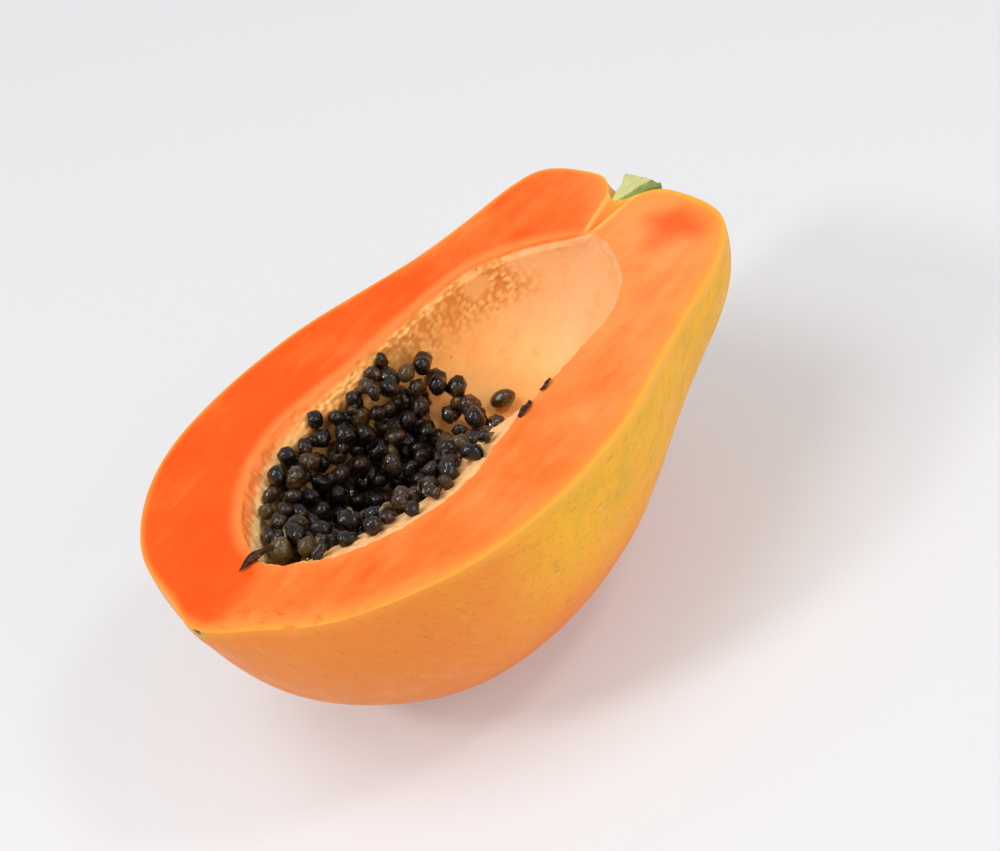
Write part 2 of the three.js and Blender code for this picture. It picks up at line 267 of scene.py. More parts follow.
# What the growth and the spoon left behind, as heights off the smooth form.
x, y, z = points.T
far = smooth(y, -4, 4)
toward_blossom = 1 - smooth(x, *PULP_ENDS)
band_reach = PULP_REACH + PULP_REACH_NEAR * (1 - far) + PULP_RAGGED * grain(points, 7)
in_band = on_wall * toward_blossom * (1 - smooth(from_lip, band_reach - 3, band_reach + 2))
patchy = smooth(grain(points, 11) + 0.45, 0, 0.4)
in_strip = on_wall * far * smooth(from_lip, *STRIP_LIP_SIDE) * (1 - smooth(from_lip, *STRIP_DEEP_SIDE))
in_strip = in_strip * patchy * smooth(x, *STRIP_STARTS) * (1 - smooth(x, *STRIP_ENDS))
knob_heights = knobs(points, KNOB_SIZE) * (0.65 + 0.5 * grain(points, 4))
fibres = grain(points, FIBRE_SIZE)
on_cut = 1 - np.maximum(on_wall, on_skin)

# A groove with a ridge on either side runs from the cavity to the notch, and opens as it goes.
from_seam = y + 1.7 - NOTCH_LINES_LEAN * (x - 69)
past_start = np.maximum(x - NOTCH_LINES_START, 0)
groove = np.exp(-(from_seam / (0.5 + 0.13 * past_start)) ** 2) * on_cut * smooth(x, 67.5, 70)
ridge_at = 1.3 + 0.17 * past_start
ridges = np.exp(-((np.abs(from_seam) - ridge_at) / 0.8) ** 2) * on_cut * smooth(x, 66, 69)

# A fine seam sways from the cavity's tail to the blossom point.
seam_sway = 0.5 * grain(np.stack([x, 0 * x, 0 * x], -1), 9)
blossom_seam = np.exp(-((y - 0.05 * (x + 97) - seam_sway) / TIP_SEAM_BREADTH) ** 2)
blossom_seam = blossom_seam * on_cut * (1 - smooth(x, *TIP_SEAM_ENDS)) * smooth(x, *TIP_SEAM_STARTS)
knife_marks = grain(points, KNIFE_MARK_SIZE)
raised = (on_cut * (0.1 * grain(points, 17) + 0.03 * grain(points, 2.4) + 0.025 * knife_marks)
          + on_wall * 0.3 * grain(points, 15) * smooth(from_lip, 0, 8)
          + in_band * (0.22 * fibres + 0.3 * knobs(points, 2.2) + 0.35 * grain(points, 5))
          + in_strip * (0.75 * knob_heights - 0.2)
          + ridges * 0.45 - groove * 1.5 - blossom_seam * 0.25
          + on_skin * (0.25 * grain(points, 26) + 0.05 * grain(points, (9, 3, 3))))

papaya_mesh = make_mesh("papaya", points, faces)
normals = np.empty(len(points) * 3)
papaya_mesh.vertex_normals.foreach_get("vector", normals)
shaped = points + normals.reshape(-1, 3) * raised[:, None]
wobble = np.stack([grain(points + 40, 5), grain(points - 40, 5), np.zeros(len(points))], -1)
wobble += 0.5 * np.stack([grain(points + 70, 2), grain(points - 70, 2), np.zeros(len(points))], -1)
by_the_lip = np.exp(-(from_lip / LIP_WOBBLE_REACH) ** 2)
shaped += LIP_WOBBLE * wobble * by_the_lip[:, None] * (~on_skin)[:, None]
shaped[:, 2] = np.maximum(shaped[:, 2], -REST_DEPTH)
papaya_mesh.vertices.foreach_set("co", ((shaped + CUT_FACE_IN_PART) / 1000).ravel())
papaya_mesh.update()

for name, values in (("from_skin", from_skin), ("from_lip", from_lip), ("around", around), ("band", in_band),
                     ("strip", in_strip), ("knob", knob_heights), ("ridge", ridges), ("groove", groove),
                     ("seam", blossom_seam)):
    note(papaya_mesh, name, values)


def put(socket, value):
    """Sets a node's input, or links another node's output to it."""
    if isinstance(value, bpy.types.NodeSocket):
        socket.id_data.links.new(value, socket)
    else:
        socket.default_value = value


def paint(code):
    """A colour as a paint chart gives it, turned into light."""
    parts = [int(code[k:k + 2], 16) / 255 for k in (0, 2, 4)]
    return [p / 12.92 if p <= 0.04045 else ((p + 0.055) / 1.055) ** 2.4 for p in parts] + [1.0]


class Finish:
    """A material that is put together node by node."""

    def __init__(self, name):
        self.material = bpy.data.materials.new(name)
        self.material.use_nodes = True
        self.tree = self.material.node_tree
        self.shader = self.tree.nodes["Principled BSDF"]
        place = self.node("TexCoord").outputs["Object"]
        moved = self.maths("MULTIPLY_ADD", place, (1000, 1000, 1000), tuple(-CUT_FACE_IN_PART), vector=True)
        self.place = moved
        parts = self.node("SeparateXYZ")
        put(parts.inputs[0], moved)
        self.x, self.y, self.z = parts.outputs

    def node(self, kind):
        return self.tree.nodes.new("ShaderNode" + kind)

    def maths(self, operation, *values, vector=False, clamp=False):
        made = self.node("VectorMath" if vector else "Math")
        made.operation = operation
        if not vector:
            made.use_clamp = clamp
        for k, value in enumerate(values):
            put(made.inputs[k], value)
        return made.outputs[0]

    def plus(self, first, second, clamp=False):
        return self.maths("ADD", first, second, clamp=clamp)

    def times(self, first, *others):
        for other in others:
            first = self.maths("MULTIPLY", first, other)
        return first

    def scaled(self, value, by, shift):
        return self.maths("MULTIPLY_ADD", value, by, shift)

    def fold(self, value, at=0.0):
        """How far a value lies from a given one, to either side."""
        return self.maths("ABSOLUTE", self.plus(value, -at))

    def noted(self, name):
        made = self.node("Attribute")
        made.attribute_name = name
        return made.outputs["Fac"]

    def slope(self, value, low, high, start=0.0, end=1.0):
        made = self.node("MapRange")
        made.interpolation_type = "SMOOTHSTEP"
        for k, v in enumerate((value, low, high, start, end)):
            put(made.inputs[k], v)
        return made.outputs[0]

    def shrunk(self, place, size, stretch=(1, 1, 1)):
        return self.maths("MULTIPLY", place or self.place, [1 / (size * s) for s in stretch], vector=True)

    def cloud(self, size, detail=3.0, roughness=0.55, stretch=(1, 1, 1), place=None):
        """Noise from 0 to 1 with blotches about size mm across, stretched along the axes."""
        made = self.node("TexNoise")
        put(made.inputs["Vector"], self.shrunk(place, size, stretch))
        put(made.inputs["Scale"], 1)
        put(made.inputs["Detail"], detail)
        put(made.inputs["Roughness"], roughness)
        return made.outputs["Fac"]

    def cells(self, size, place=None):
        """How far each place lies from the nearest of many dots, about size mm apart, in dot spacings."""
        made = self.node("TexVoronoi")
        put(made.inputs["Vector"], self.shrunk(place, size))
        put(made.inputs["Scale"], 1)
        return made.outputs["Distance"]

    def ramp(self, value, *stops):
        made = self.node("ValToRGB")
        put(made.inputs[0], value)
        elements = made.color_ramp.elements
        while len(elements) < len(stops):
            elements.new(0.5)
        for element, (at, code) in zip(elements, stops):
            element.position = at
            element.color = paint(code)
        return made.outputs[0]

    def over(self, under, colour, *shares):
        """Lays a colour over another, as thickly as the product of the shares says."""
        made = self.node("Mix")
        made.data_type = "RGBA"
        put(made.inputs[0], self.times(*shares))
        put(made.inputs[6], under)
        put(made.inputs[7], paint(colour) if isinstance(colour, str) else colour)
        return made.outputs[2]

    def layers(self, under, *coats):
        """Lays several colours over one another, each with its own shares."""
        for colour, *shares in coats:
            under = self.over(under, colour, *shares)
        return under

    def bump(self, height, distance, before=None):
        made = self.node("Bump")
        put(made.inputs["Strength"], 1)
        put(made.inputs["Distance"], distance / 1000)
        put(made.inputs["Height"], height)
        if before:
            put(made.inputs["Normal"], before)
        return made.outputs[0]

    def set(self, **sockets):
        for name, value in sockets.items():
            put(self.shader.inputs[name.replace("_", " ")], value)


JUICY = {"Subsurface_Radius": (1.0, 0.5, 0.2), "Subsurface_Scale": 0.002}

flesh = Finish("papaya flesh")
wide = flesh.cloud(26, 2.0)
fine = flesh.cloud(3.2, 4.0)
drawn = flesh.cloud(7, 3.0, 0.6, (3.2, 0.7, 1))
from_skin = flesh.noted("from_skin")
from_lip = flesh.noted("from_lip")

# The cut face is deep orange, with a painted broad reflection that makes it paler toward the near side and
# the stem end, and it is paler round the stem and toward the skin and the lip.
# Painted reflection: paler toward the near side and the stem end. The cloud layers are the flesh's own tone.
cut_tone_and_painted_reflection = flesh.scaled(flesh.slope(flesh.y, 4, -8), 0.42, 0.2)
cut_tone_and_painted_reflection = flesh.scaled(flesh.slope(flesh.x, -66, 66), 0.26, cut_tone_and_painted_reflection)
cut_tone_and_painted_reflection = flesh.plus(cut_tone_and_painted_reflection, flesh.scaled(wide, 0.8, -0.4))
cut_tone_and_painted_reflection = flesh.plus(cut_tone_and_painted_reflection, flesh.scaled(drawn, 0.5, -0.25))
cut_tone_and_painted_reflection = flesh.plus(cut_tone_and_painted_reflection, flesh.scaled(fine, 0.24, -0.12), clamp=True)
cut = flesh.ramp(cut_tone_and_painted_reflection, (0, "F94F02"), (0.3, "FB5A08"), (0.6, "FD762A"), (1, "FF9850"))
deep_spot = flesh.plus(flesh.fold(flesh.x, 78), flesh.fold(flesh.y, -24))
deep_spot = flesh.plus(deep_spot, flesh.scaled(wide, 14, -7))
from_stem = flesh.plus(flesh.fold(flesh.y, -2), flesh.scaled(flesh.x, -0.9, 74))
fade_width = flesh.scaled(flesh.cloud(14, 2.0), 0.9, 0.6)
fade_width = flesh.times(flesh.slope(flesh.y, 14, -20, 2.4, 8.5), fade_width)
rind_width = flesh.times(flesh.scaled(flesh.cloud(9), 1.8, 0.3), flesh.slope(flesh.y, 10, -24, 0.8, 2.1))
rind_share = flesh.slope(flesh.x, -80, 10, 0.3, 0.8)
smear = flesh.slope(flesh.cloud(2.2, 3.0, 0.6, (4, 0.8, 1)), 0.66, 0.76)
scratch = flesh.slope(flesh.cloud(4, 4.0, 0.65, (0.8, 1.8, 1)), 0.54, 0.64)
by_tip, near_half = flesh.slope(flesh.x, -70, -84), flesh.slope(flesh.y, -14, 4, 0.5, 0.0)
cut = flesh.layers(
    cut,
    ("FF9C4E", flesh.slope(from_lip, -4.5, -0.2), flesh.slope(flesh.y, -14, 16, 0.15, 0.6)),
    ("FA5408", flesh.slope(deep_spot, 19, 3, 0.0, 0.8)),
    ("FF9A4C", flesh.slope(from_stem, 22, 4, 0.0, 0.55)),
    ("FF983E", flesh.slope(from_skin, fade_width, 0.0), 0.8),
    ("FCB23A", flesh.slope(from_skin, rind_width, 0.2), rind_share),
    ("FFC562", flesh.noted("ridge"), 0.75),
    ("E8963C", flesh.noted("groove"), 0.55),
    ("F85A12", flesh.noted("seam"), flesh.slope(flesh.cloud(2.4), 0.42, 0.6)),
    ("F0521A", smear, 0.35),
    ("EE480C", scratch, by_tip, near_half),
)

# The lining is paler and yellower, with a strip of knobs whose crevices carry painted shade, brown crumbs,
# and darker brown close to the seeds, more so deeper down.
band = flesh.noted("band")
near_seed = flesh.noted("near_seed")
in_the_deep = flesh.slope(flesh.z, -3, -9, 0.25, 1.0)
lining = flesh.ramp(flesh.cloud(15), (0.3, "FFB866"), (0.55, "FFC172"), (0.75, "FFCB7E"))
stringy = flesh.cloud(2.8, 4.0, 0.65, (0.7, 1.5, 1.5))
# Painted shade: the knobs are ochre down in their crevices and pale on top.
knobs_and_painted_shade = flesh.ramp(flesh.noted("knob"), (0.02, "E08A38"), (0.3, "F8B05E"), (0.75, "FFCE8C"))
crumbs = flesh.slope(flesh.cloud(1.5, 3.0, 0.7), 0.64, 0.74)
roots = flesh.slope(flesh.cloud(1.7, 4.0, 0.7), 0.46, 0.6)
lining = flesh.layers(
    lining,
    ("FFBE8A", flesh.slope(flesh.x, 30, 62), 0.75),
    ("FDA856", flesh.slope(flesh.cloud(5, 4.0, 0.6), 0.52, 0.72), 0.5),
    (flesh.ramp(stringy, (0.3, "F2A048"), (0.48, "FBB65A"), (0.7, "FFCB80")), band),
    ("FFC48C", band, flesh.slope(flesh.y, -8, -20), 0.7),
    # Painted light: the far band toward the blossom end is made paler where its wall lies in shade.
    ("FFDC98", band, flesh.slope(flesh.x, -10, -50), flesh.slope(flesh.y, -8, 4), 0.75),
    (knobs_and_painted_shade, flesh.noted("strip"), 0.8),
    ("D98A3C", crumbs, flesh.slope(flesh.cloud(12, 2.0), 0.4, 0.6), 0.55),
    ("9C5E2A", flesh.slope(flesh.cells(7), 0.075, 0.03), 0.55),
    # Darker brown close to the seeds, more so deeper down, with dark strands there.
    ("B8702A", near_seed, in_the_deep, 0.35),
    ("6E3C14", roots, near_seed, in_the_deep, 0.75),
)

# Flesh turns to lining at the lip: slowly and unevenly on the far blossom side, in a thin line elsewhere.
slow = flesh.times(flesh.slope(flesh.y, 2, 20), flesh.slope(flesh.x, 20, -40))
uneven = flesh.scaled(flesh.cloud(4), 3.0, -1.5)
lip_start = flesh.times(slow, flesh.plus(uneven, 2.2))
thin_line = flesh.times(flesh.slope(flesh.y, -4, 6), flesh.slope(flesh.x, -10, 24, 0.0, 1.3))
lip_start = flesh.plus(lip_start, flesh.plus(thin_line, -0.3))
lip_end = flesh.scaled(slow, 3.2, flesh.plus(lip_start, 0.8))
flesh_colour = flesh.over(cut, lining, flesh.slope(from_lip, lip_start, lip_end))
flesh_bump = flesh.bump(flesh.cloud(0.9), 0.1)
flesh_bump = flesh.bump(flesh.cloud(5, 3.0, 0.6, (1.6, 0.8, 1)), 0.35, flesh_bump)
flesh.set(Base_Color=flesh_colour, Roughness=flesh.slope(fine, 0.3, 0.7, 0.34, 0.5), Normal=flesh_bump,
          Specular_IOR_Level=0.16, Subsurface_Weight=0.1, **JUICY)

# The skin is golden by the cut and orange below, with an olive bloom, brown streaks, small pores and a
# painted highlight along its top edge.
rind = Finish("papaya skin")
laid = rind.node("CombineXYZ")
put(laid.inputs[0], rind.x)
put(laid.inputs[1], rind.noted("around"))
lengthwise = laid.outputs[0]
up_side = rind.slope(rind.z, -66, -4)
up_side = rind.plus(up_side, rind.scaled(rind.cloud(18), 0.7, -0.35), clamp=True)
skin_colour = rind.ramp(up_side, (0, "F27C20"), (0.4, "FA962C"), (0.72, "FAAE2E"), (1, "F6B22A"))
blossom_side = rind.scaled(rind.cloud(22, 2.0), 30, rind.x)
olive = rind.slope(rind.cloud(6, 4.0, 0.65, (1.6, 1, 1)), 0.4, 0.68)
olive = rind.times(olive, rind.slope(rind.z, -40, -8), rind.slope(rind.x, -52, -8))
mottle = rind.slope(rind.cloud(1.6, 4.0, 0.7, (2.0, 1, 1), lengthwise), 0.5, 0.72)
pale = rind.slope(rind.cloud(2.4, 3.0, 0.6, (2.2, 1, 1), lengthwise), 0.58, 0.76)
streak = rind.slope(rind.cloud(1.5, 4.0, 0.6, (5.5, 0.8, 1), lengthwise), 0.6, 0.72)
pores = rind.slope(rind.cells(2.6, lengthwise), 0.16, 0.06)
stem_side, low_side = rind.slope(rind.x, 30, 84), rind.slope(rind.z, -6, -46)
# Painted highlight: a pale line along the skin's top edge, by the cut.
rim_painted_highlight = rind.slope(rind.scaled(rind.cloud(9), 4, rind.z), -1.6, 1.6)
skin_colour = rind.layers(
    skin_colour,
    ("F28A34", rind.slope(blossom_side, 0, -48)),
    ("D2AA3A", olive, 0.6),
    ("C48A30", mottle, 0.45),
    ("F6B566", pale, 0.3),
    ("9C6426", streak, rind.slope(rind.cloud(20, 2.0), 0.42, 0.6), 0.55),
    ("A8702C", pores, 0.4),
    ("C67A26", stem_side, low_side, 0.6),
    ("FAB248", rim_painted_highlight, rind.slope(rind.x, -80, 10, 0.25, 0.75)),
)

# The blossom fell off here: a dark spot in an olive fringe, round the very tip.
from_tip = rind.plus(rind.maths("POWER", rind.y, 2), rind.maths("POWER", rind.z, 2))
from_tip = rind.maths("POWER", from_tip, 0.5)
from_tip = rind.plus(from_tip, rind.scaled(rind.cloud(1.4), 1.6, -0.8))
from_tip = rind.plus(from_tip, rind.slope(rind.x, -94, -88, 0.0, 40.0))
skin_colour = rind.over(skin_colour, "C4A83A", rind.slope(from_tip, 5.5, 1.6, 0.0, 0.6))
skin_colour = rind.over(skin_colour, "3A2810", rind.slope(from_tip, 1.7, 0.9, 0.0, 0.9))
skin_bump = rind.bump(rind.cloud(1.2, 4.0, 0.6, (3, 0.8, 1), lengthwise), 0.1)
skin_bump = rind.bump(rind.cloud(0.5, 2.0), 0.03, skin_bump)
skin_shine = rind.slope(rind.cloud(8), 0.35, 0.65, 0.38, 0.52)
rind.set(Base_Color=skin_colour, Roughness=skin_shine, Normal=skin_bump, Specular_IOR_Level=0.2,
         Subsurface_Weight=0.06, **JUICY)

papaya = make_piece("papaya", papaya_mesh, [flesh, rind], "fruit", "papaya_half")
papaya_mesh.polygons.foreach_set("material_index", np.array(face_is_skin, np.int32))


# ---- The seeds -------------------------------------------------------------
# Black seeds in glossy, wrinkled gel coats, still held in the soft pulp that lines the blossom half.
# They stand in two layers where the draw puts them. Smaller ones fill the chinks, and some lie on the bands.

SEED_LENGTH, SEED_BREADTH = 7.0, 5.9
SEED_SPACING = 5.3
SEED_DRAWS, FIRST_DRAW = 5000, 20
SEED_PATCH_FROM, SEED_PATCH_TO, SEED_PATCH_SLANT = -67, 7.5, 0.5
SEED_FAR_TURN, SEED_NEAR_TURN = 0.16, 2.95
CORNER_SINKS, CORNER_FROM, CORNER_TO = 0.3, -10, 18
RAGGED_FAR, RAGGED_NEAR = 0.16, 0.35
FIRST_LAYER, SECOND_LAYER, SECOND_SHARE = 5, 9.4, 0.35
EDGE_BULGE, BULGE_MIDDLE, BULGE_BREADTH = 4.5, 6, 11
FILLING_DRAWS, FILLING_SPACING, MOST_SEEDS = 2600, 4.3, 250
FILLING_INSET, FILLING_DEPTH, FILLING_CLEARANCE = 4.2, 6.5, 1.5
BAND_DRAWS, BAND_SPACING = 700, 4.4
LEAST_SEED, LEAST_FILLING, LEAST_BAND_SEED, SIZE_SPREAD = 0.76, 0.55, 0.6, 0.3


def seed_draw(start):
    state = start
    while True:
        state = (state * 1664525 + 1013904223) % 4294967296
        yield state / 4294967296


def in_patch(centre, turn, inside=0.0):
    """Whether a seed lies in the patch: before its slanting edge, and below its sinking upper corner."""
    ragged = noise.noise(Vector(centre) / 8)
    bulge = EDGE_BULGE * math.exp(-((centre[1] - BULGE_MIDDLE) / BULGE_BREADTH) ** 2)
    edge = SEED_PATCH_TO + SEED_PATCH_SLANT * centre[1] + bulge
    before_edge = SEED_PATCH_FROM + inside < centre[0] < edge - inside
    sunk = CORNER_SINKS * smooth(centre[0], CORNER_FROM, CORNER_TO)
    far_side = SEED_FAR_TURN + sunk + RAGGED_FAR * max(ragged, 0)
    near_side = SEED_NEAR_TURN - RAGGED_NEAR * max(-ragged, 0)
    return before_edge and far_side < turn < near_side


def is_clear(centre, spacing):
    return all(np.linalg.norm(centre - other) > spacing for other in seed_places)


def place_on_wall():
    """The next drawn place along the wall and across it."""
    along = math.acos(1 - 2 * next(draw))
    return along, SEED_FAR_TURN + (SEED_NEAR_TURN - SEED_FAR_TURN) * next(draw)


def facing_and_size(least):
    return [next(draw) * math.pi for _ in range(3)], least + SIZE_SPREAD * next(draw)


def lay_seed(centre, facing, size):
    seed_places.append(centre)
    seed_facings.append(facing)
    seed_sizes.append(size)


draw = seed_draw(FIRST_DRAW)
seed_places, seed_facings, seed_sizes = [], [], []
for _ in range(SEED_DRAWS):
    t, turn = place_on_wall()
    inset = SECOND_LAYER if next(draw) < SECOND_SHARE else FIRST_LAYER
    facing, size = facing_and_size(LEAST_SEED)
    centre = inset_cavity_point(np.array(t), np.array(turn), inset)
    if in_patch(centre, turn) and is_clear(centre, SEED_SPACING):
        lay_seed(centre, facing, size)

# Smaller seeds fill the chinks and pile up toward the middle.
for _ in range(FILLING_DRAWS):
    t, turn = place_on_wall()
    inset = FILLING_INSET + FILLING_DEPTH * next(draw)
    facing, size = facing_and_size(LEAST_FILLING)
    centre = inset_cavity_point(np.array(t), np.array(turn), inset)
    roomy = is_clear(centre, FILLING_SPACING * size / 0.8)
    if in_patch(centre, turn, FILLING_CLEARANCE) and roomy and len(seed_places) < MOST_SEEDS:
        lay_seed(centre, facing, size)

# A few have come to rest on the soft band below either lip.
for _ in range(BAND_DRAWS):
    near = next(draw) < 0.5
    t = (0.5 if near else 0.55) + 1.15 * next(draw)
    turn = (2.86 if near else 0.24) + 0.16 * next(draw)
    centre = inset_cavity_point(np.array(t), np.array(turn), 0.5 if near else 2.4)
    centre[2] += (1.7 if near else 0.5) + 0.5 * next(draw)
    facing, size = facing_and_size(LEAST_BAND_SEED)
    clustered = noise.noise(Vector(centre) / 7) > (-0.05 if near else -0.3)
    before_edge = centre[0] < SEED_PATCH_TO + SEED_PATCH_SLANT * centre[1]
    if clustered and before_edge and is_clear(centre, BAND_SPACING):
        lay_seed(centre, facing, size)

# Marks where the wall lies close to the seeds; the lining is darker brown there, more so deeper down.
wall_gap = gaps_to(shaped, np.array(seed_places))
note(papaya.data, "near_seed", on_wall * (1 - smooth(wall_gap, 2.7, 4.3)))

seed_points = bpy.data.meshes.new("seed points")
seed_points.from_pydata(((np.array(seed_places) + CUT_FACE_IN_PART) / 1000).tolist(), [], [])
facings = seed_points.attributes.new("facing", "FLOAT_VECTOR", "POINT")
facings.data.foreach_set("vector", np.ravel(seed_facings))
note(seed_points, "size", seed_sizes)
seeds = show("seed_heap", seed_points)

gel = Finish("seed gel")
tone = gel.noted("tone")
coat_colour = gel.ramp(tone, (0, "0A0502"), (0.4, "140A04"), (0.68, "2A170A"), (0.9, "402A10"),
                       (1, "5E4A1C"))
creases = gel.fold(gel.cloud(1.5, 3.0, 0.6), 0.5)
# Grey-brown on the wrinkle ridges: partly the grey gel, partly a painted highlight.
grey_gel_and_painted_highlight = gel.times(gel.slope(gel.cloud(3.4, 3.0, 0.6), 0.44, 0.62), gel.slope(creases, 0.04, 0.14))
coat_colour = gel.over(coat_colour, "8A7457", grey_gel_and_painted_highlight, gel.slope(tone, 0.1, 0.9, 0.15, 0.6))
ambered = gel.slope(gel.cloud(4.5, 3.0, 0.6), 0.56, 0.74)
coat_colour = gel.over(coat_colour, "6E4414", ambered, 0.4)
gel_bump = gel.bump(gel.times(creases, 2.2), 0.8)
gel_bump = gel.bump(gel.cloud(0.6, 2.0, 0.5), 0.24, gel_bump)
gel.set(Base_Color=coat_colour, Roughness=0.3, Normal=gel_bump, Specular_IOR_Level=0.12, Coat_Weight=0.75,
        Coat_Roughness=0.05)


class Recipe:
    """A geometry-node tree that is put together step by step, with named inputs."""

    def __init__(self, name):
        self.tree = bpy.data.node_groups.new(name, "GeometryNodeTree")
        self.tree.interface.new_socket("Geometry", in_out="INPUT", socket_type="NodeSocketGeometry")
        self.tree.interface.new_socket("Geometry", in_out="OUTPUT", socket_type="NodeSocketGeometry")
        self.source = self.tree.nodes.new("NodeGroupInput")
        self.values = {}

    def ask(self, name, kind, value):
        socket = self.tree.interface.new_socket(name, in_out="INPUT", socket_type=kind)
        self.values[socket.identifier] = value
        return self.source.outputs[name]

    def step(self, kind, inputs=None, output=0, **settings):
        made = self.tree.nodes.new(kind)
        for name, value in settings.items():
            setattr(made, name, value)
        for name, value in (inputs or {}).items():
            put(made.inputs[name], value)
        return made.outputs[output]

    def cook(self, piece, geometry):
        """Runs the tree on a piece and keeps the result as its plain mesh."""
        last = self.tree.nodes.new("NodeGroupOutput")
        put(last.inputs[0], geometry)
        modifier = piece.modifiers.new(self.tree.name, "NODES")
        modifier.node_group = self.tree
        for identifier, value in self.values.items():
            modifier[identifier] = value
        graph = bpy.context.evaluated_depsgraph_get()
        made = bpy.data.meshes.new_from_object(piece.evaluated_get(graph))
        piece.modifiers.clear()
        piece.data = made


heap = Recipe("seeds on points")
length = heap.ask("Seed length", "NodeSocketFloat", SEED_LENGTH / 1000)
breadth = heap.ask("Seed breadth", "NodeSocketFloat", SEED_BREADTH / 1000)
lumps_per_metre = heap.ask("Lumps per metre", "NodeSocketFloat", 230.0)
lump_height = heap.ask("Lump height", "NodeSocketFloat", 0.0012)
colour = heap.ask("Finish", "NodeSocketMaterial", gel.material)
tone_draw = heap.ask("Tone draw", "NodeSocketInt", 7)
sides = heap.step("ShaderNodeCombineXYZ", {0: length, 1: breadth, 2: breadth})
cube = heap.step("GeometryNodeMeshCube", {"Size": (1, 1, 1), "Vertices X": 4, "Vertices Y": 4,
                                          "Vertices Z": 4})
place = heap.step("GeometryNodeInputPosition")
ball = heap.step("ShaderNodeVectorMath", {0: place}, operation="NORMALIZE")
ball = heap.step("ShaderNodeVectorMath", {0: ball, 1: sides}, operation="MULTIPLY")
ball = heap.step("ShaderNodeVectorMath", {0: ball, 1: (0.49, 0.49, 0.49)}, operation="MULTIPLY")
pip = heap.step("GeometryNodeSetPosition", {"Geometry": cube, "Position": ball})
facing = heap.step("GeometryNodeInputNamedAttribute", {"Name": "facing"}, data_type="FLOAT_VECTOR")
size = heap.step("GeometryNodeInputNamedAttribute", {"Name": "size"}, data_type="FLOAT")
tones = heap.step("FunctionNodeRandomValue", {2: 0.0, 3: 1.0, "Seed": tone_draw}, output=1, data_type="FLOAT")
strewn = heap.step("GeometryNodeStoreNamedAttribute",
                   {"Geometry": heap.source.outputs[0], "Name": "tone", "Value": tones},
                   data_type="FLOAT", domain="POINT")
strewn = heap.step("GeometryNodeInstanceOnPoints",
                   {"Points": strewn, "Instance": pip, "Rotation": facing, "Scale": size})
solid = heap.step("GeometryNodeRealizeInstances", {"Geometry": strewn})
normal = heap.step("GeometryNodeInputNormal")
lumps = heap.step("ShaderNodeTexNoise", {"Scale": lumps_per_metre, "Detail": 2.0, "Roughness": 0.6},
                  normalize=False)
lumps = heap.step("ShaderNodeMath", {0: lumps, 1: lump_height}, operation="MULTIPLY")
push = heap.step("ShaderNodeVectorMath", {0: normal, "Scale": lumps}, operation="SCALE")
solid = heap.step("GeometryNodeSetPosition", {"Geometry": solid, "Offset": push})
solid = heap.step("GeometryNodeSetShadeSmooth", {"Geometry": solid})
solid = heap.step("GeometryNodeSetMaterial", {"Geometry": solid, "Material": colour})
heap.cook(seeds, solid)
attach(seeds, "root")
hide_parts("seeds")


# ---- The wet pulp under the seeds ------------------------------------------
# A thin dark bed of gel and torn pulp that the seeds stand in. It shows between them.
# It is amber where it comes up to the yellow band, and nearly black in the middle, where the black is painted
# shade between the seeds.

BED_TOP, BED_UNDER = 4.0, 1.2
BED_FIRST_TURN, BED_LAST_TURN = 0.66, 2.6
BED_ROWS, BED_COLUMNS = 90, 60
BED_START, BED_STOPS_SHORT = 0.55, 8
EDGE_PASSES, EDGE_PACE = 12, 0.012

# Each column runs from the blossom end to the slanting edge of the seeds.
bed_turn = np.linspace(BED_FIRST_TURN, BED_LAST_TURN, BED_COLUMNS + 1)[None, :]
bed_end = np.full(bed_turn.shape, 1.6)
for _ in range(EDGE_PASSES):
    reach = inset_cavity_point(bed_end, bed_turn, BED_TOP)
    still_to_go = SEED_PATCH_TO - BED_STOPS_SHORT + SEED_PATCH_SLANT * reach[..., 1] - reach[..., 0]
    bed_end += still_to_go * EDGE_PACE
bed_tau = BED_START + (bed_end - BED_START) * np.linspace(0, 1, BED_ROWS + 1)[:, None]
bed_top = inset_cavity_point(bed_tau, bed_turn, BED_TOP)
bed_low = inset_cavity_point(bed_tau, bed_turn, BED_UNDER)
row_edge = np.minimum(np.arange(BED_ROWS + 1), np.arange(BED_ROWS, -1, -1))[:, None]
column_edge = np.minimum(np.arange(BED_COLUMNS + 1), np.arange(BED_COLUMNS, -1, -1))[None, :]
thick = smooth(np.minimum(row_edge, column_edge), 0, 6)[..., None]
bed_top = bed_low + (bed_top - bed_low) * thick
bed_top[..., 2] += thick[..., 0] * 0.7 * grain(bed_top.reshape(-1, 3), 3.5).reshape(bed_top.shape[:2])
bed_points = np.concatenate([bed_top.reshape(-1, 3), bed_low.reshape(-1, 3) - [0, 0, 0.4]])
n = BED_COLUMNS + 1
count = (BED_ROWS + 1) * n
bed_faces = []
for r in range(BED_ROWS):
    for c in range(BED_COLUMNS):
        a = r * n + c
        bed_faces.append([a, a + 1, a + n + 1, a + n])
        bed_faces.append([count + a, count + a + n, count + a + n + 1, count + a + 1])
rim = [(r, 0) for r in range(BED_ROWS)] + [(BED_ROWS, c) for c in range(BED_COLUMNS)]
rim += [(r, BED_COLUMNS) for r in range(BED_ROWS, 0, -1)] + [(0, c) for c in range(BED_COLUMNS, 0, -1)]
rim = [r * n + c for r, c in rim]
for k, a in enumerate(rim):
    b = rim[(k + 1) % len(rim)]
    bed_faces.append([a, b, count + b, count + a])
bed_mesh = make_mesh("seed_bed", bed_points, bed_faces)

pulp = Finish("wet pulp")
